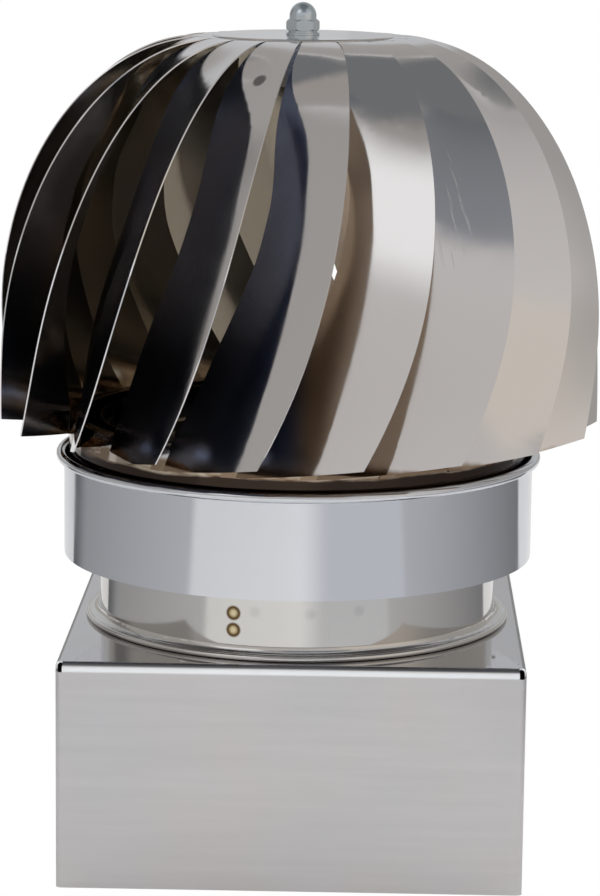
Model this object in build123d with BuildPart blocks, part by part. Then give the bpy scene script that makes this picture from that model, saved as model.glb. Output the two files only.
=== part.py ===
"""Roof turbine ventilator, in millimetres, +Z up, origin at the centre of the base's lower rim.

A folded square base carries a round neck.  Wind turns the vaned head on a shaft, which runs in
two ball bearings held by a cross inside the neck.  A gutter collar shields the gap between them.
"""
import os
from math import acos, atan2, cos, degrees, hypot, radians, sin, tan

from build123d import *

os.makedirs("parts", exist_ok=True)

# ---- driving dimensions -------------------------------------------------------------------

# folded base
base_width = 202.8
base_height = 101.0
base_sheet = 0.8
fold_radius = 2.5          # outside radius of the folds
hem_depth = 10.0           # lower edge, turned inward and pressed flat
relief_radius = 2.2        # relief hole where three folds meet

# neck
neck_diameter = 180.0
neck_sheet = 0.8
neck_rise = 92.0           # above the base's top
neck_tuck = 5.0            # below the base's top, inside it
foot_reach = 6.5           # flange that seats the neck on the base
foot_thickness = 2.6

# gutter collar round the neck
collar_diameter = 212.8
collar_sheet = 0.8
collar_clear = 29.7        # from the base's top to the collar's lower edge
collar_height = 47.1
rim_wire_diameter = 4.4    # rolled bead at the collar's upper edge
drain_diameter = 6.0
drain_count = 8

# head
head_diameter = 272.0      # over the vanes' free edges, at the widest height
head_equator = 130.0       # widest height above the base's top
head_top = 263.5           # top of the top disc above the base's top
crown_radius = 45.5        # where the dome runs out into the flat crown
skirt_round = 800.0        # radius of the gentle tuck below the widest height
head_sheet = 0.6

# vanes
vane_count = 19
first_vane_angle = -10.0   # free edge of vane 1 at the dome's lower end, from the front
vane_sweep = (0.0, 21.3, 18.4, 29.3)   # Bezier angles of the free edge from bottom to crown
lip_slope = 39.0           # slant of the section at the free edge, off the circumference
vane_curve = 400.0         # radius of the vane's section, which is nearly flat
vane_low_width = 52.0      # above the reach of the lower ring
vane_middle_width = 39.0
vane_crown_width = 34.0
vane_tab_gap = 0.5         # between two vanes where they meet on the crown
vane_tab_reach = 12.0      # flat tab that runs in under the top disc
vane_bottom = 91.5         # height of the free edge's lower corner above the base's top
vane_bottom_fall = 9.7     # how much lower the inner corner lies
weld_foot = 9.0            # tab that is spot-welded to the lower ring

# lower ring of the head
ring_diameter = 208.0
ring_sheet = 0.8
ring_bottom = 70.0         # above the base's top, down inside the collar
ring_top = 93.0
ring_flange = 5.0

# crown
top_disc_diameter = 80.6
crown_plate_diameter = 80.0
hub_flange_diameter = 56.0
hub_flange_thickness = 3.0
hub_boss_diameter = 20.0
hub_boss_length = 18.0
hub_rivet_diameter = 4.0
hub_rivet_circle = 42.0
hub_rivet_count = 4

# shaft and its fasteners
shaft_diameter = 10.0
collar_shoulder_diameter = 14.0
shoulder_length = 8.0
thread_diameter = 8.0      # M8
nut_flats = 13.0
cap_nut_hex = 4.9
cap_nut_height = 12.5
cap_nut_crown_diameter = 12.0
thread_in_nut = 7.5
washer_diameter = 15.0
washer_thickness = 0.9
lock_washer_diameter = 13.2
lock_washer_thickness = 0.8
lock_nut_height = 8.0

# bearings, 10 x 26 x 8
bearing_outer_diameter = 26.0
bearing_width = 8.0
race_wall = 3.0
bearing_distance = 30.0    # from one bearing to the other
housing_diameter = 34.0
housing_flange_diameter = 60.0
housing_flange_thickness = 4.0
housing_lip = 1.5
circlip_thickness = 1.2
circlip_width = 2.2

# cross in the neck
cross_height = 62.0        # its upper face above the base's top
cross_sheet = 3.0
cross_arm_width = 24.0
cross_hub_diameter = 66.0
cross_end = 14.0           # turned-up ends, riveted to the neck
cross_bend = 4.0           # inside radius of the bends
screw_circle = 48.0
screw_diameter = 5.0
rivet_diameter = 4.0
rivet_head = 8.0

# clearances
seat = 0.05                # between pieces that touch
running = 0.05             # radial, where one piece turns in another
hole_play = 0.2            # radial, round a rivet, screw or thread

# ---- heights and radii that follow ----------------------------------------------------------

deck = base_height                                     # the base's top, datum of what is above
neck_radius = neck_diameter / 2
neck_top = deck + neck_rise
collar_radius = collar_diameter / 2
collar_bottom = deck + collar_clear
collar_top = collar_bottom + collar_height
rim_radius = rim_wire_diameter / 2
head_radius = head_diameter / 2
equator = deck + head_equator
disc_top = deck + head_top
tab_top = disc_top - head_sheet - seat
plate_top = tab_top - head_sheet - seat
ring_radius = ring_diameter / 2
thread_radius = thread_diameter / 2
shaft_radius = shaft_diameter / 2
cross_top = deck + cross_height


def polar(radius, angle, height):
    """Point at an angle from the front, turning towards +X, as the head's azimuths are given."""
    return Vector(radius * sin(radians(angle)), -radius * cos(radians(angle)), height)


def on_circle(radius, count, start=0.0):
    """Evenly spaced points of a bolt circle."""
    points = [polar(radius, start + 360 * i / count, 0) for i in range(count)]
    return [(point.X, point.Y) for point in points]


# ---- base -----------------------------------------------------------------------------------

with BuildPart() as base_box:
    with BuildSketch():
        Rectangle(base_width, base_width)
    extrude(amount=base_height)
    fillet(base_box.edges().filter_by(Axis.Z), fold_radius)
    fillet(base_box.faces().sort_by(Axis.Z)[-1].edges(), fold_radius * 0.98)
    open_side = base_box.faces().sort_by(Axis.Z)[0]
    offset(amount=-base_sheet, openings=open_side)
    with BuildSketch():
        RectangleRounded(base_width - base_sheet, base_width - base_sheet, fold_radius - base_sheet / 2)
        RectangleRounded(base_width - 4 * base_sheet, base_width - 4 * base_sheet,
                         fold_radius - base_sheet / 2, mode=Mode.SUBTRACT)
    extrude(amount=hem_depth)
    with BuildSketch(Plane.XY.offset(deck - fold_radius)):
        Circle(neck_radius + seat)
    extrude(amount=2 * fold_radius, mode=Mode.SUBTRACT)
    relief_inset = base_width / 2 - relief_radius * 0.5
    with BuildSketch(Plane.XY.offset(deck - 2 * relief_radius)):
        with GridLocations(2 * relief_inset, 2 * relief_inset, 2, 2):
            Circle(relief_radius)
    extrude(amount=3 * relief_radius, mode=Mode.SUBTRACT)

with BuildPart() as neck_tube:
    with BuildSketch(Plane.XY.offset(deck - neck_tuck)):
        Circle(neck_radius)
        Circle(neck_radius - neck_sheet, mode=Mode.SUBTRACT)
    extrude(amount=neck_tuck + neck_rise)
    rivet_height = cross_top + cross_end * 0.6
    for turn in range(4):
        with BuildSketch(Plane(origin=(0, 0, rivet_height), x_dir=(0, 0, 1),
                               z_dir=polar(1, 90 * turn + 45, 0))):
            Circle(rivet_diameter / 2 + hole_play)
        extrude(amount=neck_diameter, mode=Mode.SUBTRACT)

# the foot is a spun flange: flat below, coved up to the neck and rounded at its outer edge
with BuildPart() as foot_ring:
    with BuildSketch(Plane.XZ):
        inner = neck_radius + seat
        outer = neck_radius + foot_reach
        low = deck + seat
        with BuildLine():
            Line((inner, low), (outer - foot_thickness / 2, low))
            ThreePointArc((outer - foot_thickness / 2, low), (outer, low + foot_thickness / 2),
                          (outer - foot_thickness / 2, low + foot_thickness))
            ThreePointArc((outer - foot_thickness / 2, low + foot_thickness),
                          (inner + 1.6, low + foot_thickness + 0.5),
                          (inner + 0.6, low + 2 * foot_thickness))
            Line((inner + 0.6, low + 2 * foot_thickness), (inner, low + 2 * foot_thickness))
            Line((inner, low + 2 * foot_thickness), (inner, low))
        make_face()
    revolve(axis=Axis.Z)

# ---- gutter collar --------------------------------------------------------------------------

with BuildPart() as collar:
    with BuildSketch(Plane.XZ):
        with Locations((collar_radius - collar_sheet / 2, collar_bottom + (collar_height - rim_radius) / 2)):
            Rectangle(collar_sheet, collar_height - rim_radius)
        with Locations((collar_radius + rim_radius - collar_sheet, collar_top - rim_radius)):
            Circle(rim_radius)
    revolve(axis=Axis.Z)

# gutter floor: an annular tray with a weld flange up the neck and another up the collar
with BuildPart() as collar_floor:
    floor_inner = neck_radius + seat
    floor_outer = collar_radius - collar_sheet - seat
    flange_rise = 9.0
    with BuildSketch(Plane.XZ):
        with BuildLine():
            Polyline((floor_inner + collar_sheet / 2, collar_bottom + flange_rise),
                     (floor_inner + collar_sheet / 2, collar_bottom + collar_sheet / 2),
                     (floor_outer - collar_sheet / 2, collar_bottom + collar_sheet / 2),
                     (floor_outer - collar_sheet / 2, collar_bottom + flange_rise))
            offset(amount=collar_sheet / 2, side=Side.BOTH, kind=Kind.INTERSECTION)
        make_face()
    revolve(axis=Axis.Z)
    with BuildSketch(Plane.XY.offset(collar_bottom - 1)):
        with Locations(*on_circle((floor_inner + floor_outer) / 2, drain_count, 22.5)):
            Circle(drain_diameter / 2)
    extrude(amount=collar_sheet + 2, mode=Mode.SUBTRACT)

# ---- cross, housing and bearings ------------------------------------------------------------

# one pressing: a disc with four arms, whose ends are turned up along the neck's round wall
with BuildPart() as bearing_cross:
    wall_radius = neck_radius - neck_sheet - seat
    arm_line = wall_radius - cross_sheet / 2 + cross_arm_width ** 2 / (8 * wall_radius)
    for turn in (45, 135):
        with BuildSketch(Plane(origin=(0, 0, 0), x_dir=polar(1, turn, 0), z_dir=polar(1, turn - 90, 0))):
            with BuildLine():
                FilletPolyline((-arm_line, cross_top + cross_end),
                               (-arm_line, cross_top - cross_sheet / 2),
                               (arm_line, cross_top - cross_sheet / 2),
                               (arm_line, cross_top + cross_end),
                               radius=cross_bend + cross_sheet / 2)
                offset(amount=cross_sheet / 2, side=Side.BOTH)
            make_face()
        extrude(amount=cross_arm_width / 2, both=True)
    with BuildSketch(Plane.XY.offset(cross_top - cross_sheet)):
        Circle(cross_hub_diameter / 2)
    extrude(amount=cross_sheet)
    with BuildSketch(Plane.XY.offset(cross_top - 2 * cross_sheet)):
        Circle(neck_diameter)
        Circle(wall_radius, mode=Mode.SUBTRACT)
    extrude(amount=cross_end + 4 * cross_sheet, mode=Mode.SUBTRACT)
    with BuildSketch(Plane.XY.offset(cross_top - 2 * cross_sheet)):
        Circle(housing_diameter / 2 + seat)
        with Locations(*on_circle(screw_circle / 2, 4)):
            Circle(screw_diameter / 2 + hole_play)
    extrude(amount=3 * cross_sheet, mode=Mode.SUBTRACT)
    for turn in range(4):
        with BuildSketch(Plane(origin=(0, 0, rivet_height), x_dir=(0, 0, 1),
                               z_dir=polar(1, 90 * turn + 45, 0))):
            Circle(rivet_diameter / 2 + hole_play)
        extrude(amount=neck_diameter, mode=Mode.SUBTRACT)

# heights along the shaft, from the housing's top down
housing_top = cross_top + housing_flange_thickness
upper_bearing_top = housing_top - circlip_thickness - 2 * seat - 1.0
upper_bearing_bottom = upper_bearing_top - bearing_width
lower_bearing_top = upper_bearing_bottom - bearing_distance
lower_bearing_bottom = lower_bearing_top - bearing_width
housing_bottom = lower_bearing_bottom - 2.0
bore_radius = bearing_outer_diameter / 2

with BuildPart() as bearing_housing:
    with BuildSketch(Plane.XY.offset(housing_bottom)):
        Circle(housing_diameter / 2)
    extrude(amount=housing_top - housing_bottom)
    with BuildSketch(Plane.XY.offset(cross_top + seat)):
        Circle(housing_flange_diameter / 2)
    extrude(amount=housing_flange_thickness - seat)
    chamfer(bearing_housing.faces().sort_by(Axis.Z)[0].edges(), 1.0)
    with BuildSketch(Plane.XY.offset(housing_bottom)):
        Circle(bore_radius - housing_lip)
    extrude(amount=housing_top - housing_bottom, mode=Mode.SUBTRACT)
    with BuildSketch(Plane.XY.offset(lower_bearing_bottom - seat)):
        Circle(bore_radius + seat)
    extrude(amount=housing_top - lower_bearing_bottom + 1, mode=Mode.SUBTRACT)
    with BuildSketch(Plane.XY.offset(upper_bearing_top + seat)):
        Circle(bore_radius + 1.0)
    extrude(amount=circlip_thickness + seat, mode=Mode.SUBTRACT)
    with BuildSketch(Plane.XY.offset(cross_top)):
        with Locations(*on_circle(screw_circle / 2, 4)):
            Circle(screw_diameter / 2 + hole_play)
    extrude(amount=2 * housing_flange_thickness, mode=Mode.SUBTRACT)

with BuildPart() as bearing_circlip:
    with BuildSketch(Plane.XY.offset(upper_bearing_top + 1.5 * seat)):
        Circle(bore_radius + 1.0 - seat)
        Circle(bore_radius + 1.0 - seat - circlip_width, mode=Mode.SUBTRACT)
        with Locations((0, -bore_radius)):
            Rectangle(7, 6, mode=Mode.SUBTRACT)
        with Locations((-4.6, -bore_radius + 1.9), (4.6, -bore_radius + 1.9)):
            Circle(1.7)
        with Locations((-4.6, -bore_radius + 2.1), (4.6, -bore_radius + 2.1)):
            Circle(0.7, mode=Mode.SUBTRACT)
    extrude(amount=circlip_thickness)

screw_head = 3.0
nut_height = 4.0
with BuildPart() as housing_screws:
    for point in on_circle(screw_circle / 2, 4):
        with BuildSketch(Plane.XY.offset(housing_top + seat)):
            with Locations(point):
                Circle(screw_diameter * 0.9)
        extrude(amount=screw_head)
        with BuildSketch(Plane.XY.offset(cross_top - cross_sheet - nut_height - 2)):
            with Locations(point):
                Circle(screw_diameter / 2)
        extrude(amount=nut_height + 2 + cross_sheet + housing_flange_thickness + seat)
    with BuildSketch(Plane.XY.offset(housing_top + seat + screw_head - 1.6)):
        with Locations(*on_circle(screw_circle / 2, 4)):
            RegularPolygon(1.6, 6)
    extrude(amount=screw_head, mode=Mode.SUBTRACT)

with BuildPart() as housing_nuts:
    with BuildSketch(Plane.XY.offset(cross_top - cross_sheet - seat - nut_height)):
        with Locations(*on_circle(screw_circle / 2, 4)):
            RegularPolygon(4.0, 6, major_radius=False)
        with Locations(*on_circle(screw_circle / 2, 4)):
            Circle(screw_diameter / 2 + seat, mode=Mode.SUBTRACT)
    extrude(amount=nut_height)

with BuildPart() as cross_rivets:
    for turn in range(4):
        outward = polar(1, 90 * turn + 45, 0)
        wall = Plane(origin=outward * (neck_radius + seat) + Vector(0, 0, rivet_height),
                     x_dir=(0, 0, 1), z_dir=outward)
        with BuildSketch(wall):
            Circle(rivet_head / 2)
        extrude(amount=1.4, taper=30)
        with BuildSketch(wall.offset(0.4)):
            Circle(rivet_diameter / 2)
        extrude(amount=-neck_sheet - cross_sheet - 3.0)


def race(inner_radius, outer_radius, bottom):
    """Profile of one bearing race, its corners chamfered."""
    with BuildSketch(Plane.XZ) as profile:
        with Locations(((inner_radius + outer_radius) / 2, bottom + bearing_width / 2)):
            Rectangle(outer_radius - inner_radius, bearing_width)
        chamfer(profile.vertices(), 0.4)
    return profile.sketch


with BuildPart() as upper_bearing_outer:
    add(race(bore_radius - race_wall, bore_radius, upper_bearing_bottom))
    revolve(axis=Axis.Z)

with BuildPart() as lower_bearing_outer:
    add(race(bore_radius - race_wall, bore_radius, lower_bearing_bottom))
    revolve(axis=Axis.Z)

with BuildPart() as outer_spacer:
    with BuildSketch(Plane.XY.offset(lower_bearing_top + seat)):
        Circle(bore_radius)
        Circle(bore_radius - 1.5, mode=Mode.SUBTRACT)
    extrude(amount=bearing_distance - 2 * seat)

# ---- turning parts: shaft and what it carries ------------------------------------------------

inner_race_bore = shaft_radius + running / 2
inner_race_rim = bore_radius - race_wall - 2 * running

with BuildPart() as upper_bearing_inner:
    add(race(inner_race_bore, inner_race_rim, upper_bearing_bottom))
    revolve(axis=Axis.Z)

with BuildPart() as lower_bearing_inner:
    add(race(inner_race_bore, inner_race_rim, lower_bearing_bottom))
    revolve(axis=Axis.Z)

with BuildPart() as inner_spacer:
    with BuildSketch(Plane.XY.offset(lower_bearing_top + seat)):
        Circle(shaft_radius + 1.5)
        Circle(inner_race_bore, mode=Mode.SUBTRACT)
    extrude(amount=bearing_distance - 2 * seat)

hub_top = plate_top - head_sheet - seat
boss_bottom = hub_top - hub_flange_thickness - hub_boss_length
nut_seat = disc_top + 4 * seat + washer_thickness + lock_washer_thickness
lock_nut_top = lower_bearing_bottom - washer_thickness - 2 * seat
shaft_end = lock_nut_top - lock_nut_height - 2.0

with BuildPart() as shaft:
    with BuildSketch(Plane.XY.offset(lower_bearing_bottom)):
        Circle(shaft_radius)
    extrude(amount=boss_bottom - lower_bearing_bottom)
    with BuildSketch(Plane.XY.offset(upper_bearing_top + seat)):
        Circle(collar_shoulder_diameter / 2)
    extrude(amount=shoulder_length)
    with BuildSketch(Plane.XY.offset(boss_bottom)):
        Circle(thread_radius)
    extrude(amount=nut_seat + thread_in_nut - boss_bottom)
    with BuildSketch(Plane.XY.offset(shaft_end)):
        Circle(thread_radius)
    extrude(amount=lower_bearing_bottom - shaft_end)
    chamfer(shaft.edges().filter_by(GeomType.CIRCLE).group_by(Axis.Z)[0], 0.8)
    chamfer(shaft.edges().filter_by(GeomType.CIRCLE).group_by(Axis.Z)[-1], 0.8)

with BuildPart() as shaft_washer:
    with BuildSketch(Plane.XY.offset(lock_nut_top + seat)):
        Circle(washer_diameter / 2)
        Circle(thread_radius + hole_play, mode=Mode.SUBTRACT)
    extrude(amount=washer_thickness)

with BuildPart() as shaft_lock_nut:
    with BuildSketch(Plane.XY.offset(lock_nut_top - lock_nut_height)):
        RegularPolygon(nut_flats / 2, 6, major_radius=False)
    extrude(amount=lock_nut_height * 0.7)
    with BuildSketch(Plane.XY.offset(lock_nut_top - lock_nut_height * 0.3)):
        Circle(nut_flats / 2 - 0.4)
    extrude(amount=lock_nut_height * 0.3)
    with BuildSketch(Plane.XY.offset(shaft_end)):
        Circle(thread_radius + running)
    extrude(amount=lock_nut_height + 5, mode=Mode.SUBTRACT)

# ---- crown of the head ------------------------------------------------------------------------

with BuildPart() as top_disc:
    with BuildSketch(Plane.XY.offset(disc_top - head_sheet)):
        Circle(top_disc_diameter / 2)
        Circle(thread_radius + hole_play, mode=Mode.SUBTRACT)
    extrude(amount=head_sheet)
    chamfer(top_disc.edges().filter_by(GeomType.CIRCLE).group_by(Axis.Z)[-1]
            .filter_by(lambda edge: edge.radius > hub_flange_diameter / 2), head_sheet * 0.7)

with BuildPart() as crown_plate:
    with BuildSketch(Plane.XY.offset(plate_top - head_sheet)):
        Circle(crown_plate_diameter / 2)
        Circle(thread_radius + hole_play, mode=Mode.SUBTRACT)
        with Locations(*on_circle(hub_rivet_circle / 2, hub_rivet_count, 45)):
            Circle(hub_rivet_diameter / 2 + hole_play, mode=Mode.SUBTRACT)
    extrude(amount=head_sheet)

with BuildPart() as hub:
    with BuildSketch(Plane.XY.offset(hub_top - hub_flange_thickness)):
        Circle(hub_flange_diameter / 2)
    extrude(amount=hub_flange_thickness)
    with BuildSketch(Plane.XY.offset(boss_bottom + seat)):
        Circle(hub_boss_diameter / 2)
    extrude(amount=hub_boss_length)
    fillet(hub.edges().filter_by(GeomType.CIRCLE).group_by(Axis.Z)[1]
           .filter_by(lambda edge: edge.radius < hub_boss_diameter * 0.6), 2.0)
    with BuildSketch(Plane.XY.offset(boss_bottom)):
        Circle(thread_radius + running)
        with Locations(*on_circle(hub_rivet_circle / 2, hub_rivet_count, 45)):
            Circle(hub_rivet_diameter / 2 + hole_play)
    extrude(amount=hub_boss_length + 2 * hub_flange_thickness, mode=Mode.SUBTRACT)

with BuildPart() as hub_rivets:
    rivet_cap = 0.6
    for point in on_circle(hub_rivet_circle / 2, hub_rivet_count, 45):
        with BuildSketch(Plane.XY.offset(plate_top + seat)):
            with Locations(point):
                Circle(hub_rivet_diameter * 0.8)
        extrude(amount=rivet_cap)
        with BuildSketch(Plane.XY.offset(hub_top - hub_flange_thickness - seat)):
            with Locations(point):
                Circle(hub_rivet_diameter / 2)
        extrude(amount=plate_top - hub_top + hub_flange_thickness + 3 * seat)
        with BuildSketch(Plane.XY.offset(hub_top - hub_flange_thickness - seat)):
            with Locations(point):
                Circle(hub_rivet_diameter * 0.8)
        extrude(amount=-1.2)

with BuildPart() as top_washer:
    with BuildSketch(Plane.XY.offset(disc_top + seat)):
        Circle(washer_diameter / 2)
        Circle(thread_radius + hole_play, mode=Mode.SUBTRACT)
    extrude(amount=washer_thickness)

with BuildPart() as lock_washer:
    with BuildSketch(Plane.XY.offset(disc_top + 2 * seat + washer_thickness)):
        Circle(lock_washer_diameter / 2)
        Circle(thread_radius + hole_play, mode=Mode.SUBTRACT)
    extrude(amount=lock_washer_thickness)

with BuildPart() as acorn_nut:
    with BuildSketch(Plane.XY.offset(nut_seat)):
        RegularPolygon(nut_flats / 2, 6, major_radius=False, rotation=9)
    extrude(amount=cap_nut_hex)
    # turned chamfers round off the hexagon's corners
    with BuildSketch(Plane.XZ):
        with BuildLine():
            Polyline((0, nut_seat), (nut_flats * 0.53, nut_seat), (nut_flats * 0.6, nut_seat + 1.2),
                     (nut_flats * 0.6, nut_seat + cap_nut_hex - 1.4),
                     (nut_flats * 0.5, nut_seat + cap_nut_hex), (0, nut_seat + cap_nut_hex), close=True)
        make_face()
    revolve(axis=Axis.Z, mode=Mode.INTERSECT)
    with BuildSketch(Plane.XZ):
        crown = cap_nut_crown_diameter / 2
        shoulder = nut_seat + cap_nut_hex
        with BuildLine():
            Line((0, shoulder - 1), (crown, shoulder - 1))
            Line((crown, shoulder - 1), (crown, nut_seat + cap_nut_height - crown))
            CenterArc((0, nut_seat + cap_nut_height - crown), crown, 0, 90)
            Line((0, nut_seat + cap_nut_height), (0, shoulder - 1))
        make_face()
    revolve(axis=Axis.Z)
    with BuildSketch(Plane.XY.offset(nut_seat)):
        Circle(thread_radius + running)
    extrude(amount=thread_in_nut + 0.6, mode=Mode.SUBTRACT)

# ---- lower ring of the head -------------------------------------------------------------------

with BuildPart() as lower_ring:
    with BuildSketch(Plane.XZ):
        ring_line = ring_radius - ring_sheet / 2
        with BuildLine():
            Polyline((ring_line, deck + ring_bottom), (ring_line, deck + ring_top - ring_sheet / 2),
                     (ring_line - ring_flange, deck + ring_top - ring_sheet / 2))
            offset(amount=ring_sheet / 2, side=Side.BOTH, kind=Kind.INTERSECTION)
        make_face()
    revolve(axis=Axis.Z)

# ---- vanes ------------------------------------------------------------------------------------
# Each vane is one strip.  Its free edge climbs the dome along a Bezier sweep, its section is
# nearly flat and slants in behind the next vane by the lip slope.

dome_radius = head_radius - crown_radius
dome_height = tab_top - equator
skirt_drop = head_equator - vane_bottom + vane_bottom_fall + 6.0
skirt_arc = degrees(skirt_drop / skirt_round)

with BuildLine(Plane.XZ) as meridian:
    CenterArc((head_radius - skirt_round, equator), skirt_round, -skirt_arc, skirt_arc)
    EllipticalCenterArc((crown_radius, equator), dome_radius, dome_height, start_angle=0, arc_size=90)
meridian_wire = meridian.wires()[0]


def bezier(values, t):
    """Cubic Bezier blend of four values."""
    a, b, c, d = values
    return a * (1 - t) ** 3 + 3 * b * t * (1 - t) ** 2 + 3 * c * t ** 2 * (1 - t) + d * t ** 3


def reaching_width(edge_radius):
    """Width of a section whose inner edge ends on the lower ring."""
    inner_radius = ring_radius + seat + head_sheet
    centre_x = vane_curve * sin(radians(lip_slope))
    centre_y = vane_curve * cos(radians(lip_slope)) - edge_radius
    distance = hypot(centre_x, centre_y)
    lean = degrees(atan2(centre_x, centre_y))
    turn = degrees(acos((distance ** 2 + vane_curve ** 2 - inner_radius ** 2)
                        / (2 * distance * vane_curve)))
    return radians(lean - turn - lip_slope) * vane_curve


def edge_angle(t):
    """Azimuth of vane 1's free edge at a fraction of the meridian."""
    return first_vane_angle + bezier(vane_sweep, t)


def edge_plane(t):
    """Plane of the section at a fraction of the meridian: x along the rim, y inward."""
    point = meridian_wire.position_at(t)
    along = meridian_wire.tangent_at(t)
    turn = edge_angle(t)
    return Plane(origin=polar(point.X, turn, point.Z), x_dir=(cos(radians(turn)), sin(radians(turn)), 0),
                 z_dir=polar(along.X, turn, along.Z))


def inner_offset(edge_radius):
    """Azimuth from the free edge to the edge on the ring."""
    end = lip_slope + degrees(reaching_width(edge_radius) / vane_curve)
    across = vane_curve * (sin(radians(lip_slope)) - sin(radians(end)))
    inward = vane_curve * (cos(radians(lip_slope)) - cos(radians(end)))
    return degrees(atan2(across, edge_radius - inward))


crown_turn = edge_angle(1.0)
crown_plane = Plane(origin=polar(crown_radius, crown_turn, tab_top), z_dir=(0, 0, 1),
                    x_dir=(cos(radians(crown_turn)), sin(radians(crown_turn)), 0))
low_radius = meridian_wire.position_at(0).X
full_width = reaching_width(low_radius)
pitch_share = tan(radians(360 / vane_count))
tab_width = crown_radius * pitch_share - vane_tab_gap
tab_inner_width = (crown_radius - vane_tab_reach) * pitch_share - vane_tab_gap
sections = [  # fraction of the meridian, width, slope, radius of the curve
    (0.00, full_width, lip_slope, vane_curve),
    (0.09, reaching_width(meridian_wire.position_at(0.09).X), lip_slope, vane_curve),
    (0.18, (full_width + vane_low_width) / 2, lip_slope, vane_curve),
    (0.29, vane_low_width * 0.96, lip_slope, vane_curve),
    (0.41, vane_middle_width * 1.12, lip_slope, vane_curve),
    (0.53, vane_middle_width, lip_slope, vane_curve),
    (0.65, vane_middle_width * 0.93, lip_slope * 0.95, vane_curve),
    (0.77, vane_crown_width, lip_slope * 0.8, vane_curve),
    (0.86, vane_crown_width * 0.8, lip_slope * 0.5, vane_curve),
    (0.94, (vane_crown_width + tab_width) / 2 * 0.8, lip_slope * 0.17, vane_curve),
    (1.00, tab_width, 0.0, vane_curve * 4),
]

with BuildPart() as vane:
    for t, width, slope, curve in sections:
        with BuildSketch(edge_plane(t)):
            with BuildLine():
                edges = []
                for radius in (curve, curve - head_sheet):
                    line = []
                    for share in (0.0, 0.5, 1.0):
                        theta = radians(slope) + share * width / curve
                        line.append((curve * sin(radians(slope)) - radius * sin(theta),
                                     curve * cos(radians(slope)) - radius * cos(theta)))
                    edges.append(line)
                outer, inner = edges
                ThreePointArc(*outer)
                Line(outer[2], inner[2])
                ThreePointArc(*reversed(inner))
                Line(inner[0], outer[0])
            make_face()
    loft()
    # flat tab under the top disc
    with BuildSketch(crown_plane):
        Polygon((0, 0), (-tab_width, 0), (-tab_inner_width, vane_tab_reach), (0, vane_tab_reach),
                align=None)
    extrude(amount=-head_sheet)
    # lower edge, cut to a shallow cone
    with BuildSketch(Plane.XZ):
        with BuildLine():
            rise = vane_bottom_fall / (head_radius - ring_radius)
            low = deck + vane_bottom - vane_bottom_fall
            Polyline((ring_radius - 20, low - 20 * rise), (head_radius + 20, deck + vane_bottom + 20 * rise),
                     (head_radius + 20, deck + ring_bottom - 10), (ring_radius - 20, deck + ring_bottom - 10),
                     close=True)
        make_face()
    revolve(axis=Axis.Z, mode=Mode.SUBTRACT)
    # inner edge, trimmed to the lower ring
    with BuildSketch(Plane.XY.offset(deck + ring_bottom)):
        Circle(ring_radius + seat)
    extrude(amount=ring_top + seat - ring_bottom, mode=Mode.SUBTRACT)
    # foot that lies on the lower ring
    foot_low = deck + vane_bottom - vane_bottom_fall
    foot_high = deck + ring_top - 1.6
    for height in (foot_low, foot_high):
        t = (height - meridian_wire.position_at(0).Z) / meridian_wire.length
        start = edge_angle(t) + inner_offset(meridian_wire.position_at(t).X) + 0.25
        span = degrees(weld_foot / ring_radius)
        with BuildSketch(Plane.XY.offset(height)):
            with BuildLine():
                near = ring_radius + seat
                far = near + head_sheet
                arc_from = -90 + start - span
                CenterArc((0, 0), near, arc_from, span)
                CenterArc((0, 0), far, arc_from, span)
                Line(polar(near, start, 0), polar(far, start, 0))
                Line(polar(near, start - span, 0), polar(far, start - span, 0))
            make_face()
    loft(ruled=True)

# ---- export -----------------------------------------------------------------------------------

pieces = {
    "base_box": base_box, "neck_tube": neck_tube, "foot_ring": foot_ring, "collar": collar,
    "collar_floor": collar_floor, "bearing_cross": bearing_cross, "cross_rivets": cross_rivets,
    "bearing_housing": bearing_housing, "housing_screws": housing_screws,
    "housing_nuts": housing_nuts, "bearing_circlip": bearing_circlip,
    "upper_bearing_outer": upper_bearing_outer, "lower_bearing_outer": lower_bearing_outer,
    "outer_spacer": outer_spacer, "upper_bearing_inner": upper_bearing_inner,
    "lower_bearing_inner": lower_bearing_inner, "inner_spacer": inner_spacer, "shaft": shaft,
    "shaft_washer": shaft_washer, "shaft_lock_nut": shaft_lock_nut, "hub": hub,
    "hub_rivets": hub_rivets, "crown_plate": crown_plate, "top_disc": top_disc,
    "top_washer": top_washer, "lock_washer": lock_washer, "acorn_nut": acorn_nut,
    "lower_ring": lower_ring,
}
for label, piece in pieces.items():
    piece.part.label = label
    export_step(piece.part, f"parts/{label}.step")

for i in range(vane_count):
    copy = vane.part.rotate(Axis.Z, 360 * i / vane_count)
    copy.label = f"vane_{i + 1:02d}"
    export_step(copy, f"parts/{copy.label}.step")
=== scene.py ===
# %% [markdown]
# # Roof turbine ventilator: dressing the CAD model
# The object is folded and rolled stainless sheet: a satin square base, a bright neck with a gutter
# collar, and a head of mirror-polished vanes that the wind turns.
# The solids come from the CAD model and stay as they are.  This file gives them their finishes,
# adds the marks that welding and handling leave, and sets up a small photo studio round them.

from math import cos, radians, sin

import bpy
from mathutils import Matrix, Vector

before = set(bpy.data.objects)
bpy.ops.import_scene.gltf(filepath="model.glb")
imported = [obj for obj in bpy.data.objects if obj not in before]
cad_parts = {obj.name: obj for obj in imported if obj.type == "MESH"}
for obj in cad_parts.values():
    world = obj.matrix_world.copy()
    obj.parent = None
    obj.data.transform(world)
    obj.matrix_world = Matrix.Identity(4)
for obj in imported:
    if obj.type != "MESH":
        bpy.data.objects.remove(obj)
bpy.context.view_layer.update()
millimetre = 0.001

# %% [markdown]
# ## Two small helpers
# Colours are easiest to judge as sRGB hex codes, the way a paint chart gives them, but Blender's
# shaders calculate in linear light, so one function turns one into the other.
# The other adds a shader node, sets its values and links its inputs in a single line.

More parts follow.
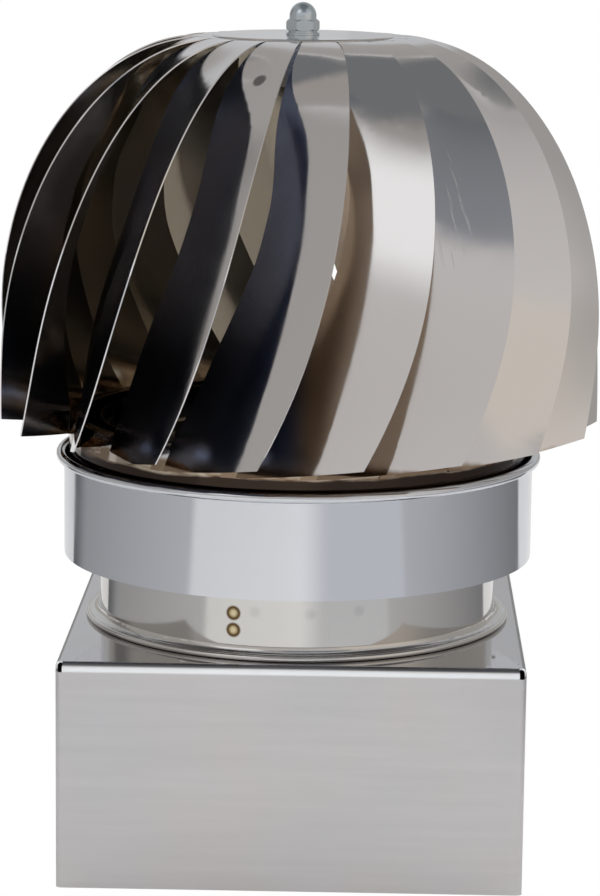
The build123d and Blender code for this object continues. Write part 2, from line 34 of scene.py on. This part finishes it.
# %% Colour and node helpers
def linear(code):
    """An sRGB hex colour as linear RGBA."""
    parts = [int(code[i:i + 2], 16) / 255 for i in (1, 3, 5)]
    return [c / 12.92 if c <= 0.04045 else ((c + 0.055) / 1.055) ** 2.4 for c in parts] + [1.0]


def add_node(material, kind, settings=None, **inputs):
    """Adds a node: settings are its properties, inputs are values or sockets to link.

    An input is called by its name, or by its number after an underscore.
    """
    tree = material.node_tree
    node = tree.nodes.new("ShaderNode" + kind)
    for name, value in (settings or {}).items():
        setattr(node, name, value)
    for name, value in inputs.items():
        key = int(name[1:]) if name[0] == "_" else name.replace("_", " ")
        socket = node.inputs[key]
        if isinstance(value, bpy.types.NodeSocket):
            tree.links.new(value, socket)
        else:
            socket.default_value = value
    return node


print("mid grey in linear light:", [round(v, 3) for v in linear("#808080")])

# %% [markdown]
# ## Finishes
# Every sheet part is stainless steel, but three surfaces differ.  The head's sheet is polished to
# a mirror, so its look is nearly all reflection: what makes it real is that thin sheet is never
# quite flat, and a bump of a few hundredths of a millimetre over 50 mm already bends a reflection.
# The rolled collar and neck are bright but streaked round by the rolls, and the base is satin.
# A metal's colour is what it reflects straight on, so each finish is a principled shader with
# metallic 1, a base colour and a roughness.  Patterns are measured on the part itself, in
# millimetres, so they stay in place when the head turns.

# %% What every finish starts from
def surface_place(material):
    """The place on the part, in metres, which all patterns are measured from."""
    return add_node(material, "TexCoord").outputs["Object"]


def per_metre(size_mm):
    """Texture scale for a feature of this many millimetres."""
    return 1000.0 / size_mm


def new_finish(name, colour, roughness):
    """A metal with its principled shader set from plain values."""
    material = bpy.data.materials.new(name)
    material.use_nodes = True
    shader = material.node_tree.nodes["Principled BSDF"]
    shader.inputs["Base Color"].default_value = linear(colour)
    shader.inputs["Metallic"].default_value = 1.0
    shader.inputs["Roughness"].default_value = roughness
    print("finish:", name)
    return material, shader


def wavy_sheet(material, shader, waves):
    """Chains bumps, each a feature size and a height in millimetres, into the shader's normal.

    The third value of a wave scales the pattern's axes: a small one draws it out along that axis.
    """
    place = surface_place(material)
    normal = None
    for size_mm, height_mm, stretch in waves:
        scaled = add_node(material, "Mapping", Vector=place, Scale=stretch).outputs[0]
        noise = add_node(material, "TexNoise", Vector=scaled, Scale=per_metre(size_mm), Detail=1.0)
        bump = add_node(material, "Bump", Strength=1.0, Distance=height_mm * millimetre,
                        Height=noise.outputs["Fac"])
        if normal is not None:
            material.node_tree.links.new(normal, bump.inputs["Normal"])
        normal = bump.outputs["Normal"]
    material.node_tree.links.new(normal, shader.inputs["Normal"])


# %% [markdown]
# ### Mixing and fading
# A finish changes over a part: inside to outside, top to foot, clean to stained.  Each change is a
# number from 0 to 1, and that number mixes two colours or two roughnesses.

# %% Mix two values, and fade from one to the other
def blend(material, factor, first, second):
    """A colour between two colours, each a hex code or a socket."""
    mixer = add_node(material, "Mix", {"data_type": "RGBA"}, Factor=factor)
    for key, colour in ((6, first), (7, second)):
        if isinstance(colour, str):
            mixer.inputs[key].default_value = linear(colour)
        else:
            material.node_tree.links.new(colour, mixer.inputs[key])
    return mixer.outputs[2]


def pick(material, factor, first, second):
    """A number between two numbers or sockets."""
    return add_node(material, "Mix", {"data_type": "FLOAT"}, Factor=factor,
                    _2=first, _3=second).outputs[0]


def fade(material, value, start, end):
    """0 before the start, 1 past the end, and a soft step between them."""
    return add_node(material, "MapRange", {"interpolation_type": "SMOOTHSTEP"}, Value=value,
                    From_Min=start, From_Max=end).outputs["Result"]


def ramp(material, value, start, end):
    """0 before the start, 1 past the end, and a straight line between them."""
    return add_node(material, "MapRange", Value=value, From_Min=start,
                    From_Max=end).outputs["Result"]


def times(material, first, second):
    """The product of two numbers."""
    return add_node(material, "Math", {"operation": "MULTIPLY"}, _0=first, _1=second).outputs[0]


def feed(material, socket, shader, name):
    """Links a socket into the principled shader."""
    material.node_tree.links.new(socket, shader.inputs[name])


# %% [markdown]
# ### Wear
# Two kinds of small wear are shared by several finishes: greasy smears that dull the mirror a
# little, and round marks where the sheet was spot-welded, which stay as a grey or straw-coloured
# ring of heat tint.  Both are drawn in the shader, because neither has any thickness.

# %% Smears and round marks
def smears(material, size_mm, clean, dull):
    """Roughness that drifts between two values over smears of this size."""
    cloud = add_node(material, "TexNoise", Vector=surface_place(material),
                     Scale=per_metre(size_mm), Detail=2.0)
    return add_node(material, "MapRange", {"interpolation_type": "SMOOTHSTEP"},
                    Value=cloud.outputs["Fac"], From_Min=0.3, From_Max=0.75,
                    To_Min=clean, To_Max=dull).outputs["Result"]


def marks(material, places, size_mm, softness_mm, squeeze=(1, 1, 1)):
    """1 inside round marks at these places on the part, fading to 0 over the softness.

    Squeeze shortens distances along an axis, which draws a mark out along it.
    """
    total = None
    for spot in places:
        here = Vector(a * b for a, b in zip(spot, squeeze)) * millimetre
        squeezed = add_node(material, "VectorMath", {"operation": "MULTIPLY"},
                            _0=surface_place(material), _1=squeeze)
        gap = add_node(material, "VectorMath", {"operation": "DISTANCE"},
                       _0=squeezed.outputs[0], _1=here)
        disc = ramp(material, gap.outputs["Value"], (size_mm / 2 + softness_mm) * millimetre,
                    size_mm / 2 * millimetre)
        total = disc if total is None else add_node(
            material, "Math", {"operation": "MAXIMUM"}, _0=total, _1=disc).outputs[0]
    return total


# %% [markdown]
# ### Mirror-polished stainless, for the head
# The vanes are cut from sheet that was polished on one side before it was formed.  The outside is
# a clean mirror.  The inside keeps the mill's duller surface, and its colour is painted reflection:
# bluish on some vanes and brown on others, standing in for how the inner faces catch the light.
# One shader serves both sides, so that a vane stays one piece: it asks whether the surface faces
# away from the middle of the head or towards it.

# %% The polished sheet and its two sides
head_middle = (0.0, 0.0, 0.19)
faces_in, faces_out = -0.05, -0.04   # metres that the surface looks away from the middle

polished, polished_shader = new_finish("mirror-polished stainless sheet", "#DCDADA", 0.05)
wavy_sheet(polished, polished_shader, [
    (90, 0.05, (1, 1, 0.5)),      # oil-canning of the thin sheet
    (16, 0.003, (1, 1, 1)),       # orange peel of polishing
])
from_middle = add_node(polished, "VectorMath", {"operation": "SUBTRACT"},
                       _0=surface_place(polished), _1=head_middle)
lean = add_node(polished, "VectorMath", {"operation": "DOT_PRODUCT"},
                _0=add_node(polished, "TexCoord").outputs["Normal"], _1=from_middle.outputs[0])
polished_side = ramp(polished, lean.outputs["Value"], faces_in, faces_out)
place_on_head = add_node(polished, "SeparateXYZ", Vector=surface_place(polished))

# %% [markdown]
# A spot weld that holds a vane's tab shows through as a grey disc near the crown, and one vane was
# scratched by something that slid down it.  Scratches follow the dome, so their noise is laid out
# by the angle round the head and the height, and stretched along the height.  They are drawn
# coarser than real ones, which would be too fine to show.

# %% Weld mark and scratches
crown_weld_place = (-16.3, -77.1, 349.4)
crown_weld = marks(polished, [crown_weld_place], size_mm=5.0, softness_mm=1.2)
outer_colour = blend(polished, crown_weld, "#DCDADA", "#7E7C7B")

scuffed_places = [(67.0, -80.0, 310.0), (67.0, -89.0, 288.0)]
scuffed = marks(polished, scuffed_places, size_mm=5.0, softness_mm=6.0, squeeze=(1, 0.6, 0.35))
radius_there = 0.1      # turns the angle into metres along the dome
hair_stretch = 0.05     # a hair is twenty times as long as it is wide
turn = add_node(polished, "Math", {"operation": "ARCTAN2"},
                _0=place_on_head.outputs["Y"], _1=place_on_head.outputs["X"])
hair_width_mm = 1.3
hairs = add_node(polished, "TexNoise", Scale=per_metre(hair_width_mm), Detail=2.0, Vector=add_node(
    polished, "CombineXYZ", X=times(polished, turn.outputs[0], radius_there),
    Z=times(polished, place_on_head.outputs["Z"], hair_stretch)).outputs[0])
scratched = times(polished, scuffed, ramp(polished, hairs.outputs["Fac"], 0.56, 0.66))

# %% [markdown]
# Inside, the painted reflection changes from one vane to the next, so its limits follow the slant
# of
# the vanes: bluish in front of the axis, olive brown behind it, and a painted bronze glint beyond
# the slanted line.

# %% Painted reflection on the inner side
slant = -0.15                                            # sideways per height, as the vanes run
bronze_glint_limits = -54 * millimetre, -42 * millimetre       # along the slanted line
behind_limits = -30 * millimetre, 10 * millimetre        # from the front of the axis to its back
slanted = add_node(polished, "Math", {"operation": "MULTIPLY_ADD"},
                   _0=place_on_head.outputs["Z"], _1=slant, _2=place_on_head.outputs["X"])
# painted bronze glint on the inner faces beyond the slanted line
painted_bronze_glint = fade(polished, slanted.outputs[0], *bronze_glint_limits)
behind = fade(polished, place_on_head.outputs["Y"], *behind_limits)
# painted reflection on the inner faces: bluish dark in front of the axis, olive brown behind it
painted_inner_reflection = blend(polished, behind, "#768098", "#9A9080")
inner_colour = blend(polished, painted_bronze_glint, painted_inner_reflection, "#B09E8A")
both_colours = blend(polished, polished_side, inner_colour, outer_colour)

# %% [markdown]
# The vanes' feet, where they go down into the collar, get painted shade in a brownish beige.  Its
# edge is ragged, which a noise subtracted from the height gives.

# %% Painted shade on the feet, and how dull each side is
rag_height = -5 * millimetre
unshaded_above, shaded_below = 187.5 * millimetre, 184.5 * millimetre
rags = add_node(polished, "TexNoise", Vector=surface_place(polished), Scale=per_metre(12),
                Detail=4.0)
ragged = add_node(polished, "Math", {"operation": "MULTIPLY_ADD"}, _0=rags.outputs["Fac"],
                  _1=rag_height, _2=place_on_head.outputs["Z"])
# painted shade: the vanes' feet turn brownish beige below a ragged line above the collar
painted_foot_shade = fade(polished, ragged.outputs[0], unshaded_above, shaded_below)
feed(polished, blend(polished, painted_foot_shade, both_colours, "#8A7763"), polished_shader, "Base Color")

inner_roughness, scratch_roughness = 0.2, 0.45
outer_roughness = pick(polished, scratched, smears(polished, size_mm=40, clean=0.06, dull=0.14),
                       scratch_roughness)
feed(polished, pick(polished, polished_side, inner_roughness, outer_roughness),
     polished_shader, "Roughness")
print("vanes", len([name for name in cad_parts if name.startswith("vane")]))

# %% [markdown]
# ### Bright rolled stainless, for the neck
# Cold-rolled sheet leaves the mill bright, with very fine lines along the rolls.  Those lines run
# round the tube, so their pattern is stretched round it.  Two spot welds were burnt straw-brown
# with a pale heart, and three more show only as faint grey discs.

# %% Neck sheet
rolled, rolled_shader = new_finish("bright rolled stainless sheet", "#CFCDCA", 0.08)
wavy_sheet(rolled, rolled_shader, [
    (55, 0.05, (1, 1, 0.6)),
    (2.5, 0.0015, (0.12, 0.12, 1)),  # fine lines that the rolls leave round the tube
])
feed(rolled, smears(rolled, size_mm=30, clean=0.05, dull=0.13), rolled_shader, "Roughness")

# %% Spot welds on the neck
burnt_welds = [(-25.4, -86.4, 120.4), (-25.4, -86.4, 112.9)]
faint_welds = [(-16.0, -88.6, 121.5), (8.0, -89.7, 121.0), (29.0, -85.2, 122.0)]
faint_share = 0.2
burnt = marks(rolled, burnt_welds, size_mm=5.6, softness_mm=0.8)
hearts = marks(rolled, burnt_welds, size_mm=1.8, softness_mm=1.4)
faint = times(rolled, marks(rolled, faint_welds, size_mm=2.4, softness_mm=2.0), faint_share)
greyed = blend(rolled, faint, "#CFCDCA", "#8C8B8A")
straw = blend(rolled, hearts, "#5C482A", "#CCBE9A")
feed(rolled, blend(rolled, burnt, greyed, straw), rolled_shader, "Base Color")
print("weld marks on the neck", len(burnt_welds) + len(faint_welds))

# %% [markdown]
# ### Cool bright stainless, for the gutter collar
# The collar comes from another coil than the neck: the same mill finish, but a little bluer, and
# dented a little deeper, so that its reflections bend more.

# %% Collar sheet
cool, cool_shader = new_finish("bright stainless collar sheet", "#D1D3D8", 0.08)
wavy_sheet(cool, cool_shader, [
    (60, 0.07, (1, 1, 0.7)),
    (2.5, 0.0015, (0.12, 0.12, 1)),
])
feed(cool, smears(cool, size_mm=35, clean=0.05, dull=0.14), cool_shader, "Roughness")

# %% [markdown]
# ### Satin stainless, for the folded base
# The base's sides are brushed with a belt, which leaves level strokes and scatters light evenly.
# Its top kept the bright side of the sheet, so the surface's own direction picks the roughness.

# %% Base sheet
satin, satin_shader = new_finish("satin stainless sheet", "#CBCACB", 0.3)
wavy_sheet(satin, satin_shader, [
    (70, 0.12, (1, 1, 1)),
])
bright_roughness = 0.05
facing = add_node(satin, "SeparateXYZ", Vector=add_node(satin, "TexCoord").outputs["Normal"])
on_top = ramp(satin, facing.outputs["Z"], 0.90, 0.995)
brushed_sides = smears(satin, size_mm=60, clean=0.28, dull=0.34)
feed(satin, pick(satin, on_top, brushed_sides, bright_roughness), satin_shader, "Roughness")

level_strokes = (0.06, 0.06, 1)
brushed = add_node(satin, "Mapping", Vector=surface_place(satin), Scale=level_strokes).outputs[0]
strokes = add_node(satin, "TexNoise", Vector=brushed, Scale=per_metre(5), Detail=4.0,
                   Roughness=0.6).outputs["Fac"]
tint = add_node(satin, "TexNoise", Vector=surface_place(satin), Scale=per_metre(55), Detail=2.0)
warm = blend(satin, strokes, "#C0BAB8", "#CDC8C6")
bluish = blend(satin, strokes, "#BBBDC1", "#C9CACD")
sheet_tone = blend(satin, tint.outputs["Fac"], warm, bluish)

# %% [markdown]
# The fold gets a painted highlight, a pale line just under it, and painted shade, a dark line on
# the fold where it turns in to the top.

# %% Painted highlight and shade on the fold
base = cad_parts["base_box"]
base_top = max((base.matrix_world @ Vector(corner)).z for corner in base.bound_box)
highlight_depth, highlight_edge = 4.8 * millimetre, 1.2 * millimetre
up_side = add_node(satin, "SeparateXYZ", Vector=surface_place(satin))
under_fold = fade(satin, up_side.outputs["Z"], base_top - highlight_depth,
                  base_top - highlight_depth + highlight_edge)
turning_in = fade(satin, facing.outputs["Z"], 0.2, 0.5)
# painted highlight: a pale line just under the fold
painted_highlight = blend(satin, under_fold, sheet_tone, "#F2F5F8")
# painted shade: a dark line on the fold where it turns in to the top
painted_fold_shade = blend(satin, turning_in, painted_highlight, "#8A8A8E")
feed(satin, blend(satin, on_top, painted_fold_shade, sheet_tone), satin_shader, "Base Color")
print("fold rubbed from", round((base_top - highlight_depth) / millimetre, 1), "mm up")

# %% [markdown]
# ### Polished ring under the head, with painted shade
# The ring that joins the vanes' feet turns inside the collar.  Its lower part is dark brown,
# painted shade where the collar's rim shades it, and above the shade's ragged edge it is streaked
# brown and tan.

# %% Ring of the head
shaded, shaded_ring_shader = new_finish("greasy polished ring", "#D8D2C8", 0.08)
wavy_sheet(shaded, shaded_ring_shader, [(18, 0.12, (1, 1, 1))])
shade_rag = -4.5 * millimetre
shade_edge = 179.6 * millimetre, 180.6 * millimetre
height = add_node(shaded, "SeparateXYZ", Vector=surface_place(shaded))
edge = add_node(shaded, "TexNoise", Vector=surface_place(shaded), Scale=per_metre(28), Detail=3.0)
lifted = add_node(shaded, "Math", {"operation": "MULTIPLY_ADD"}, _0=edge.outputs["Fac"],
                  _1=shade_rag, _2=height.outputs["Z"])
# painted shade: 0 below the ragged edge, where the collar shades the ring
painted_ring_shade = ramp(shaded, lifted.outputs[0], *shade_edge)

round_ring = (0.12, 0.12, 1)
swept = add_node(shaded, "Mapping", Vector=surface_place(shaded), Scale=round_ring).outputs[0]
rubs = add_node(shaded, "TexNoise", Vector=swept, Scale=per_metre(3), Detail=3.0, Roughness=0.7)
streaked = blend(shaded, ramp(shaded, rubs.outputs["Fac"], 0.42, 0.6), "#7A6450", "#BFAF9C")
# painted shade in dark brown below the ragged edge, brown and tan streaks above it
feed(shaded, blend(shaded, painted_ring_shade, "#3A302A", streaked), shaded_ring_shader, "Base Color")

# %% [markdown]
# ### Small parts
# Nuts, washers and screws are zinc-plated, which looks a little blue and milky.  Races, spacers
# and the shaft are turned steel, the hub and the housing turned aluminium, both with fine rings
# from the lathe, and the circlip is spring steel blued by heat.

# %% Zinc, turned steel, aluminium and spring steel
zinc, zinc_shader = new_finish("blue zinc-plated steel", "#C6D0D8", 0.2)
wavy_sheet(zinc, zinc_shader, [(1.2, 0.02, (1, 1, 1))])
turned, turned_shader = new_finish("turned steel", "#B4B1AC", 0.22)
wavy_sheet(turned, turned_shader, [(0.8, 0.008, (0.05, 0.05, 1))])
cast_alloy, cast_shader = new_finish("turned aluminium", "#BFC0C1", 0.35)
wavy_sheet(cast_alloy, cast_shader, [(1.0, 0.01, (0.05, 0.05, 1))])
blued, blued_shader = new_finish("blued spring steel", "#3A3C42", 0.35)
wavy_sheet(blued, blued_shader, [(1.5, 0.01, (1, 1, 1))])

# %% [markdown]
# ### Who wears what
# Vanes, crown plate and top disc all come from the polished sheet, so polished is what a piece
# gets unless this list names another finish.

# %% Give each piece its finish
finish_of = {
    "base_box": satin, "neck_tube": rolled, "foot_ring": rolled, "collar": cool,
    "collar_floor": cool, "bearing_cross": turned, "cross_rivets": turned,
    "bearing_housing": cast_alloy, "housing_screws": zinc, "housing_nuts": zinc,
    "bearing_circlip": blued, "upper_bearing_outer": turned, "lower_bearing_outer": turned,
    "outer_spacer": turned, "upper_bearing_inner": turned, "lower_bearing_inner": turned,
    "inner_spacer": turned, "shaft": turned, "shaft_washer": zinc, "shaft_lock_nut": zinc,
    "hub": cast_alloy, "hub_rivets": turned, "top_washer": zinc, "lock_washer": zinc,
    "acorn_nut": zinc, "lower_ring": shaded,
}
for name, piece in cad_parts.items():
    piece.data.materials.clear()
    piece.data.materials.append(finish_of.get(name, polished))
print("finished", len(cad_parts), "pieces")

# %% [markdown]
# ## Studio
# Polished metal shows its surroundings, so the studio matters more than any lamp.  The room is
# white for the camera.  For the steel it is a room with grey walls, a window in front on the left,
# a grey cloth beside it, a few mats on the floor and darker sheets of painted floor shade.  These
# are sheets that only reflections see, with soft edges, because a mirror that is a little wavy
# shows no straight hard ones.

# %% A sheet that glows in reflections
def fading_glow(name, colours, soft, strength, turning):
    """A glowing material that fades to clear towards the edges of the sheet."""
    material = bpy.data.materials.new(name + " cloth")
    material.use_nodes = True
    material.node_tree.nodes.clear()
    share = add_node(material, "SeparateXYZ", Vector=add_node(material, "TexCoord").outputs["UV"])
    seen = None
    hard_edge = 1e-4
    for axis, width, edge in zip("XXYY", soft, (0, 1, 0, 1)):
        inside = fade(material, share.outputs[axis], edge, abs(edge - max(width, hard_edge)))
        seen = inside if seen is None else times(material, seen, inside)
    colour = blend(material, share.outputs[turning], colours[0], colours[1])
    glow = add_node(material, "Emission", Color=colour, Strength=strength)
    clear = add_node(material, "BsdfTransparent")
    mixed = add_node(material, "MixShader", Fac=seen, _1=clear.outputs[0], _2=glow.outputs[0])
    add_node(material, "OutputMaterial", Surface=mixed.outputs[0])
    return material


def glowing_sheet(name, place_of, colours, soft, strength=1.0, turning="Y", steps=(32, 4)):
    """A sheet that glows, is seen only in polished surfaces, and fades out towards its edges.

    place_of gives a point for two fractions, X from start to end and Y from foot to top.
    The colour changes along the one that turning names.
    soft is the share of the sheet that fades at the start, the end, the foot and the top.
    """
    mesh = bpy.data.meshes.new(name)
    across, up = steps
    corners = [place_of(i / across, k / up) for i in range(across + 1) for k in range(up + 1)]
    rows = [i * (up + 1) + k for i in range(across) for k in range(up)]
    mesh.from_pydata(corners, [], [(c, c + up + 1, c + up + 2, c + 1) for c in rows])
    shares = mesh.uv_layers.new(name="share")
    for loop in mesh.loops:
        i, k = divmod(loop.vertex_index, up + 1)
        shares.data[loop.index].uv = (i / across, k / up)
    mesh.materials.append(fading_glow(name, colours, soft, strength, turning))
    piece = bpy.data.objects.new(name, mesh)
    bpy.context.scene.collection.objects.link(piece)
    piece.visible_camera = False
    piece.visible_diffuse = False
    piece.visible_shadow = False
    piece.visible_transmission = False


# %% [markdown]
# The walls and mats stand round the part, so each is placed by the direction it is seen in:
# the azimuth from the front, towards the right.

# %% Sheets by their direction
def round_place(azimuth, distance, height):
    """A point by its azimuth from the front, distance and height."""
    return distance * sin(radians(azimuth)), -distance * cos(radians(azimuth)), height


def between(ends, share):
    """The value at this share of the way from the first end to the second."""
    return ends[0] + (ends[1] - ends[0]) * share


def wall(name, distance, azimuths, heights, colours, soft, strength=1.0):
    """A bent hanging sheet between two azimuths and two heights."""
    glowing_sheet(name, lambda u, v: round_place(between(azimuths, u), distance,
                                                 between(heights, v)),
                  colours, soft, strength)


def mat(name, near, far, distances, colours, soft, level):
    """A sheet on the floor, fanning out between two pairs of azimuths and two distances."""
    def place_of(u, v):
        start, end = between((near[0], far[0]), v), between((near[1], far[1]), v)
        return round_place(between((start, end), u), between(distances, v), level)

    glowing_sheet(name, place_of, colours, soft, turning="X")


# %% [markdown]
# ### Floor and white room
# The floor is pale and keeps the part's soft shadow, but the camera sees it as plain white.  The
# world does the same: white for the camera and for reflections, a little less as light.

# %% Floor
floor_reach = 6.0
floor_mesh = bpy.data.meshes.new("floor")
floor_mesh.from_pydata([(-floor_reach, -floor_reach, 0), (floor_reach, -floor_reach, 0),
                        (floor_reach, floor_reach, 0), (-floor_reach, floor_reach, 0)],
                       [], [(0, 1, 2, 3)])
floor = bpy.data.objects.new("floor", floor_mesh)
bpy.context.scene.collection.objects.link(floor)
paint = bpy.data.materials.new("floor paint")
paint.use_nodes = True
pale = paint.node_tree.nodes["Principled BSDF"]
pale.inputs["Base Color"].default_value = linear("#F2F2F2")
pale.inputs["Roughness"].default_value = 0.9
floor_mesh.materials.append(paint)
white = add_node(paint, "Emission", Color=(1, 1, 1, 1), Strength=1.0)
by_eye = add_node(paint, "MixShader", _1=pale.outputs[0], _2=white.outputs[0],
                  Fac=add_node(paint, "LightPath").outputs["Is Camera Ray"])
paint.node_tree.links.new(by_eye.outputs[0],
                          paint.node_tree.nodes["Material Output"].inputs["Surface"])
print("floor", 2 * floor_reach, "m wide")

# %% White room
world = bpy.data.worlds.new("white room")
bpy.context.scene.world = world
world.use_nodes = True
world.node_tree.nodes.clear()
room_light, plain_white = 0.8, 1.0
lighting = add_node(world, "Background", Color=(1, 1, 1, 1), Strength=room_light)
backdrop = add_node(world, "Background", Color=(1, 1, 1, 1), Strength=plain_white)
path = add_node(world, "LightPath")
camera_or_mirror = add_node(world, "Math", {"operation": "MAXIMUM"},
                            _0=path.outputs["Is Camera Ray"], _1=path.outputs["Is Glossy Ray"])
straight = add_node(world, "Math", {"operation": "MAXIMUM"}, _0=camera_or_mirror.outputs[0],
                    _1=path.outputs["Is Transmission Ray"])
room = add_node(world, "MixShader", Fac=straight.outputs[0], _1=lighting.outputs[0],
                _2=backdrop.outputs[0])
add_node(world, "OutputWorld", Surface=room.outputs[0])
print("room light", room_light, "and backdrop", plain_white)

# %% [markdown]
# ### What the polished steel reflects
# A vane turned a little to the left shows what stands on the left, so the order of the walls
# round the part becomes the order of light and dark across the head.  The bright streak
# down a front vane is the window, and the blue-grey zone beside it is the hanging cloth.
# Steel reflects about seven tenths of the light, so a wall is paler than it looks in the vanes.

# %% Walls and cloths
window_strength = 1.06
room_walls = [
    # name, distance, azimuths, heights, colours at foot and top, fades (start, end, foot, top)
    ("room wall", 2.3, (-180, 180), (0.0, 4.6), ("#B2AFAB", "#A9A7A5"), (0, 0, 0, 0.38)),
    ("backdrop, left", 2.2, (-180, -134), (0.35, 2.1), ("#CBCDD0", "#C9C9CA"), (0, 0.2, 0.1, 0.4)),
    ("dim corner, left", 2.1, (-134, -104), (0.3, 1.7), ("#7F7E7D", "#8D8B88"),
     (0.3, 0.5, 0.1, 0.3)),
    ("wall under the window", 2.15, (-64, 34), (0.0, 1.75), ("#C6C2BE", "#D6D3D2"),
     (0.08, 0.06, 0, 0.1)),
    ("window", 2.1, (-57, -17), (1.1, 3.5), ("#FFFFFF", "#FFFFFF"), (0.2, 0.2, 0.16, 0.55)),
    ("grey hanging cloth", 2.05, (-12, 38), (1.43, 4.4), ("#909399", "#6C7174"),
     (0.2, 0.16, 0.04, 0)),
    ("light wall, right", 2.1, (30, 98), (0.6, 3.4), ("#DEDAD8", "#B4B1AF"), (0.08, 0.4, 0.1, 0.3)),
    ("low wall, right", 2.0, (22, 90), (0.0, 1.0), ("#DFD6CA", "#DFD8CF"), (0.08, 0.5, 0, 0.16)),
    ("backdrop, right", 2.2, (142, 180), (0.35, 1.5), ("#BFC0C2", "#CBCDD0"), (0.2, 0, 0.1, 0.4)),
]
for name, distance, azimuths, heights, colours, soft in room_walls:
    wall(name, distance, azimuths, heights, colours, soft,
         window_strength if name == "window" else 1.0)
print("walls", len(room_walls))

# %% Ceiling
ceiling_depth = (-3.0, 3.0)
ceilings = [
    # name, from and to across, height, colour, fades (start, end, foot, top)
    ("pale ceiling, left", (-3.0, -1.2), 4.6, "#AAA5A1", (0, 0.3, 0, 0)),
    ("grey ceiling", (-3.0, 3.0), 4.65, "#7B7D7F", (0, 0, 0, 0)),
]
for name, across, height_up, colour, soft in ceilings:
    glowing_sheet(name, lambda u, v: (between(across, u), between(ceiling_depth, v), height_up),
                  (colour, colour), soft, steps=(1, 1))
print("ceilings", len(ceilings))

# %% Mats and painted floor shade on the floor, each a little above the one before
first_level, layer_step = 0.002, 0.0005
floor_mats = [
    # name, azimuths near and far, distances, colours at start and end, fades
    ("grey mat, left", (-132, -47), (-132, -43), (0.4, 1.25), ("#9C9C9E", "#C9CACB"),
     (0.03, 0.05, 0.1, 0)),
    # painted floor shade as the steel sees it: a dark sheet at the far left
    ("painted floor shade, left", (-134, -116), (-134, -116), (0.4, 1.25), ("#68696C", "#85868A"),
     (0.08, 0.75, 0.1, 0)),
    ("pale mat", (1, 56), (1, 52), (0.4, 1.25), ("#D6D7DA", "#D6D7DA"), (0.3, 0.05, 0.1, 0)),
    # partly painted floor shade: this grey mat darkens towards its far end, round to the back on
    # the right
    ("grey mat with painted shade, right", (50, 133), (46, 133), (0.3, 1.25), ("#C9C9CB", "#818183"),
     (0.05, 0.03, 0.1, 0)),
]
for layer, (name, near, far, distances, colours, soft) in enumerate(floor_mats):
    mat(name, near, far, distances, colours, soft, first_level + layer_step * layer)
print("mats", len(floor_mats))

# %% [markdown]
# ## Camera
# The product is seen from a metre and a half away, a little from above, with a long lens that
# keeps the base's edges nearly upright.  The camera is built from its own three axes: where it
# looks, and that direction's right and up, tipped by a small roll.

# %% Camera
turn_of_base, pitch, yaw, roll = 0.02301, 0.18445, 0.0005, 0.01082
reach, eye_height = 1.4534, 0.4485
sensor = 36.0
focal_share = 3245.7 / 896      # focal length as a share of the sensor's long side

camera_data = bpy.data.cameras.new("product lens")
camera = bpy.data.objects.new("product camera", camera_data)
bpy.context.scene.collection.objects.link(camera)
bpy.context.scene.camera = camera
camera_data.sensor_width = sensor
camera_data.lens = sensor * focal_share
ahead = Vector((sin(yaw) * cos(pitch), cos(yaw) * cos(pitch), -sin(pitch)))
side = Vector((cos(yaw), -sin(yaw), 0.0))
above = side.cross(ahead)
right = cos(roll) * side + sin(roll) * above
up = -sin(roll) * side + cos(roll) * above
stand = Matrix.Rotation(turn_of_base, 3, "Z")
axes = stand @ Matrix((right, up, -ahead)).transposed()
place = stand @ Vector((0.0, -reach, eye_height))
camera.matrix_world = Matrix.Translation(place) @ axes.to_4x4()
print("camera at", [round(v, 3) for v in place])

# %% [markdown]
# ## Lamp
# One weak soft box from the upper right adds the soft shadow on the floor and gives the satin
# base a gentle fall of light.  It isn't seen in the polished steel.

# %% Lamp
lamp_data = bpy.data.lights.new("soft box", "AREA")
lamp = bpy.data.objects.new("soft box", lamp_data)
bpy.context.scene.collection.objects.link(lamp)
lamp_data.shape = "RECTANGLE"
lamp_data.size, lamp_data.size_y = 1.2, 0.8
lamp_data.energy = 12
lamp.visible_glossy = False
lamp.location = (0.9, -0.9, 1.5)
aim = Vector((0, 0, 0.2))
lamp.rotation_mode = "QUATERNION"
lamp.rotation_quaternion = (lamp.location - aim).to_track_quat("Z", "Y")
print("lamp energy", lamp_data.energy)

# %% [markdown]
# ## Picture settings
# The standard view shows a colour about as it is written.

# %% Picture settings
bpy.context.scene.view_settings.view_transform = "Standard"
